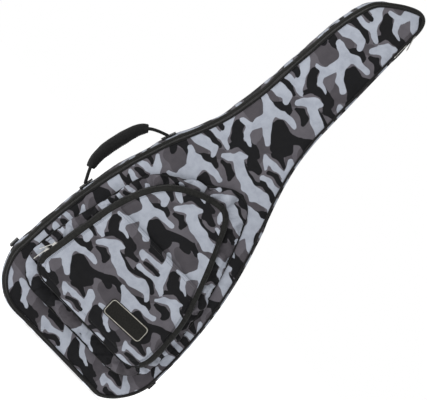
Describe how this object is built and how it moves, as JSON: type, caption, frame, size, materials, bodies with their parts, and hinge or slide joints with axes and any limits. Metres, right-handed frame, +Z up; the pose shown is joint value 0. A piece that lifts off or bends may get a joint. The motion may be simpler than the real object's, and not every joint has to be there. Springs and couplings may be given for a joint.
{
  "type": "padded guitar gig bag",
  "caption": "Padded gig bag for a solid-body electric guitar, with a zipped lid that opens like a book, a zipped front pocket, a side carry handle and backpack straps.",
  "frame": {"origin": "on the flat bottom face, at the middle of the side wall's depth band, on the bag's long axis", "axes": "+Z up along the bag to the neck end, -Y out of the lid and pocket, +Y out of the back with the shoulder straps, +X to the hinge side"},
  "size_m": [0.4652, 0.1837, 1.089],
  "materials": {
    "camo_cloth": "printed polyester plain weave, urban camouflage in four greys, matt",
    "lining_cloth": "brushed tricot lining",
    "padding_foam": "closed-cell foam sheet",
    "cradle_foam": "brushed cloth over dense foam",
    "piping": "woven binding over cord",
    "zip_tape": "herringbone zip tape",
    "zip_coil": "nylon coil teeth",
    "zip_metal": "satin nickel, worn edges",
    "trim_webbing": "polypropylene webbing",
    "strap_mesh": "padded strap, woven face and spacer mesh",
    "buckle_plastic": "moulded acetal",
    "grip_cover": "padded wrap, ballistic weave",
    "badge_cloth": "blank woven badge with a pale stitched border"
  },
  "bodies": {
    "shell": {"side_cover": "camo_cloth", "side_foam": "padding_foam", "side_lining": "lining_cloth", "back_cover": "camo_cloth", "back_foam": "padding_foam", "back_lining": "lining_cloth", "rear_piping": "piping", "shell_zip_tape": "zip_tape", "shell_zip_coil": "zip_coil", "hinge_gusset": "camo_cloth", "neck_cradle": "cradle_foam", "neck_strap": "trim_webbing", "headstock_pad": "cradle_foam", "base_pad": "cradle_foam", "strap_yoke": "trim_webbing", "shoulder_strap_left": "strap_mesh", "shoulder_strap_right": "strap_mesh", "strap_webbing_left": "trim_webbing", "strap_webbing_right": "trim_webbing", "ladder_locks": "buckle_plastic", "lower_anchor_tabs": "trim_webbing", "handle_anchor_patches": "trim_webbing", "hang_loop_patches": "trim_webbing"},
    "lid": {"lid_cover": "camo_cloth", "lid_foam": "padding_foam", "lid_lining": "lining_cloth", "front_piping": "piping", "lid_zip_tape": "zip_tape", "lid_zip_coil": "zip_coil", "pocket_side": "camo_cloth", "pocket_rim_tape": "zip_tape", "pocket_rim_coil": "zip_coil", "pocket_organizer": "lining_cloth", "pocket_hinge_binding": "camo_cloth"},
    "pocket_flap": {"flap_panel": "camo_cloth", "flap_padding": "padding_foam", "flap_zip_tape": "zip_tape", "flap_zip_coil": "zip_coil", "slip_pocket": "camo_cloth", "badge": "badge_cloth"},
    "main_slider_upper": {"main_slider_upper": "zip_metal"},
    "main_puller_upper": {"main_puller_upper": "zip_metal"},
    "main_slider_lower": {"main_slider_lower": "zip_metal"},
    "main_puller_lower": {"main_puller_lower": "zip_metal"},
    "pocket_slider_upper": {"pocket_slider_upper": "zip_metal"},
    "pocket_puller_upper": {"pocket_puller_upper": "zip_metal"},
    "pocket_slider_lower": {"pocket_slider_lower": "zip_metal"},
    "pocket_puller_lower": {"pocket_puller_lower": "zip_metal"},
    "side_handle": {"side_handle_webbing": "trim_webbing", "side_handle_grip": "grip_cover"},
    "hang_loop": {"hang_loop": "trim_webbing"}
  },
  "joints": [
    {"name": "lid_hinge", "type": "hinge", "parent": "shell", "child": "lid", "pos_m": [0.2, -0.034, 0.318], "axis": [-0.1863, 0, 0.9825], "range_deg": [0, 120]},
    {"name": "pocket_flap_hinge", "type": "hinge", "parent": "lid", "child": "pocket_flap", "pos_m": [0, -0.0785, 0.096], "axis": [1, 0, 0], "range_deg": [0, 100]},
    {"name": "side_handle_swing", "type": "hinge", "parent": "shell", "child": "side_handle", "pos_m": [-0.20804, 0.008, 0.303], "axis": [0.2343, 0, 0.9722], "range_deg": [-50, 50]},
    {"name": "hang_loop_swing", "type": "hinge", "parent": "shell", "child": "hang_loop", "pos_m": [-0.008, 0.0565, 1.027], "axis": [0, 0, 1], "range_deg": [-50, 50]},
    {"name": "main_slider_upper_slide", "type": "slide", "parent": "shell", "child": "main_slider_upper", "axis": [0.0482, 0, -0.9988], "range_m": [0, 0.014]},
    {"name": "main_slider_lower_slide", "type": "slide", "parent": "shell", "child": "main_slider_lower", "axis": [0.0482, 0, -0.9988], "range_m": [0, 0.036]},
    {"name": "main_puller_upper_hinge", "type": "hinge", "parent": "main_slider_upper", "child": "main_puller_upper", "pos_m": [0.05404, -0.034, 1.03665], "axis": [0, -1, 0], "range_deg": [0, 140]},
    {"name": "main_puller_lower_hinge", "type": "hinge", "parent": "main_slider_lower", "child": "main_puller_lower", "pos_m": [0.05539, -0.034, 1.00868], "axis": [0, -1, 0], "range_deg": [0, 140]},
    {"name": "pocket_slider_upper_slide", "type": "slide", "parent": "lid", "child": "pocket_slider_upper", "axis": [0.1301, 0, 0.9915], "range_m": [0, 0.11]},
    {"name": "pocket_slider_lower_slide", "type": "slide", "parent": "lid", "child": "pocket_slider_lower", "axis": [0.1301, 0, 0.9915], "range_m": [0, 0.006]},
    {"name": "pocket_puller_upper_hinge", "type": "hinge", "parent": "pocket_slider_upper", "child": "pocket_puller_upper", "pos_m": [-0.16283, -0.0785, 0.16949], "axis": [0, 1, 0], "range_deg": [0, 140]},
    {"name": "pocket_puller_lower_hinge", "type": "hinge", "parent": "pocket_slider_lower", "child": "pocket_puller_lower", "pos_m": [-0.16556, -0.0785, 0.14867], "axis": [0, 1, 0], "range_deg": [0, 140]}
  ],
  "couplings": [
    {"joint": "main_puller_upper_hinge", "follows": "main_puller_lower_hinge", "ratio": 1},
    {"joint": "pocket_puller_upper_hinge", "follows": "pocket_puller_lower_hinge", "ratio": 1}
  ]
}
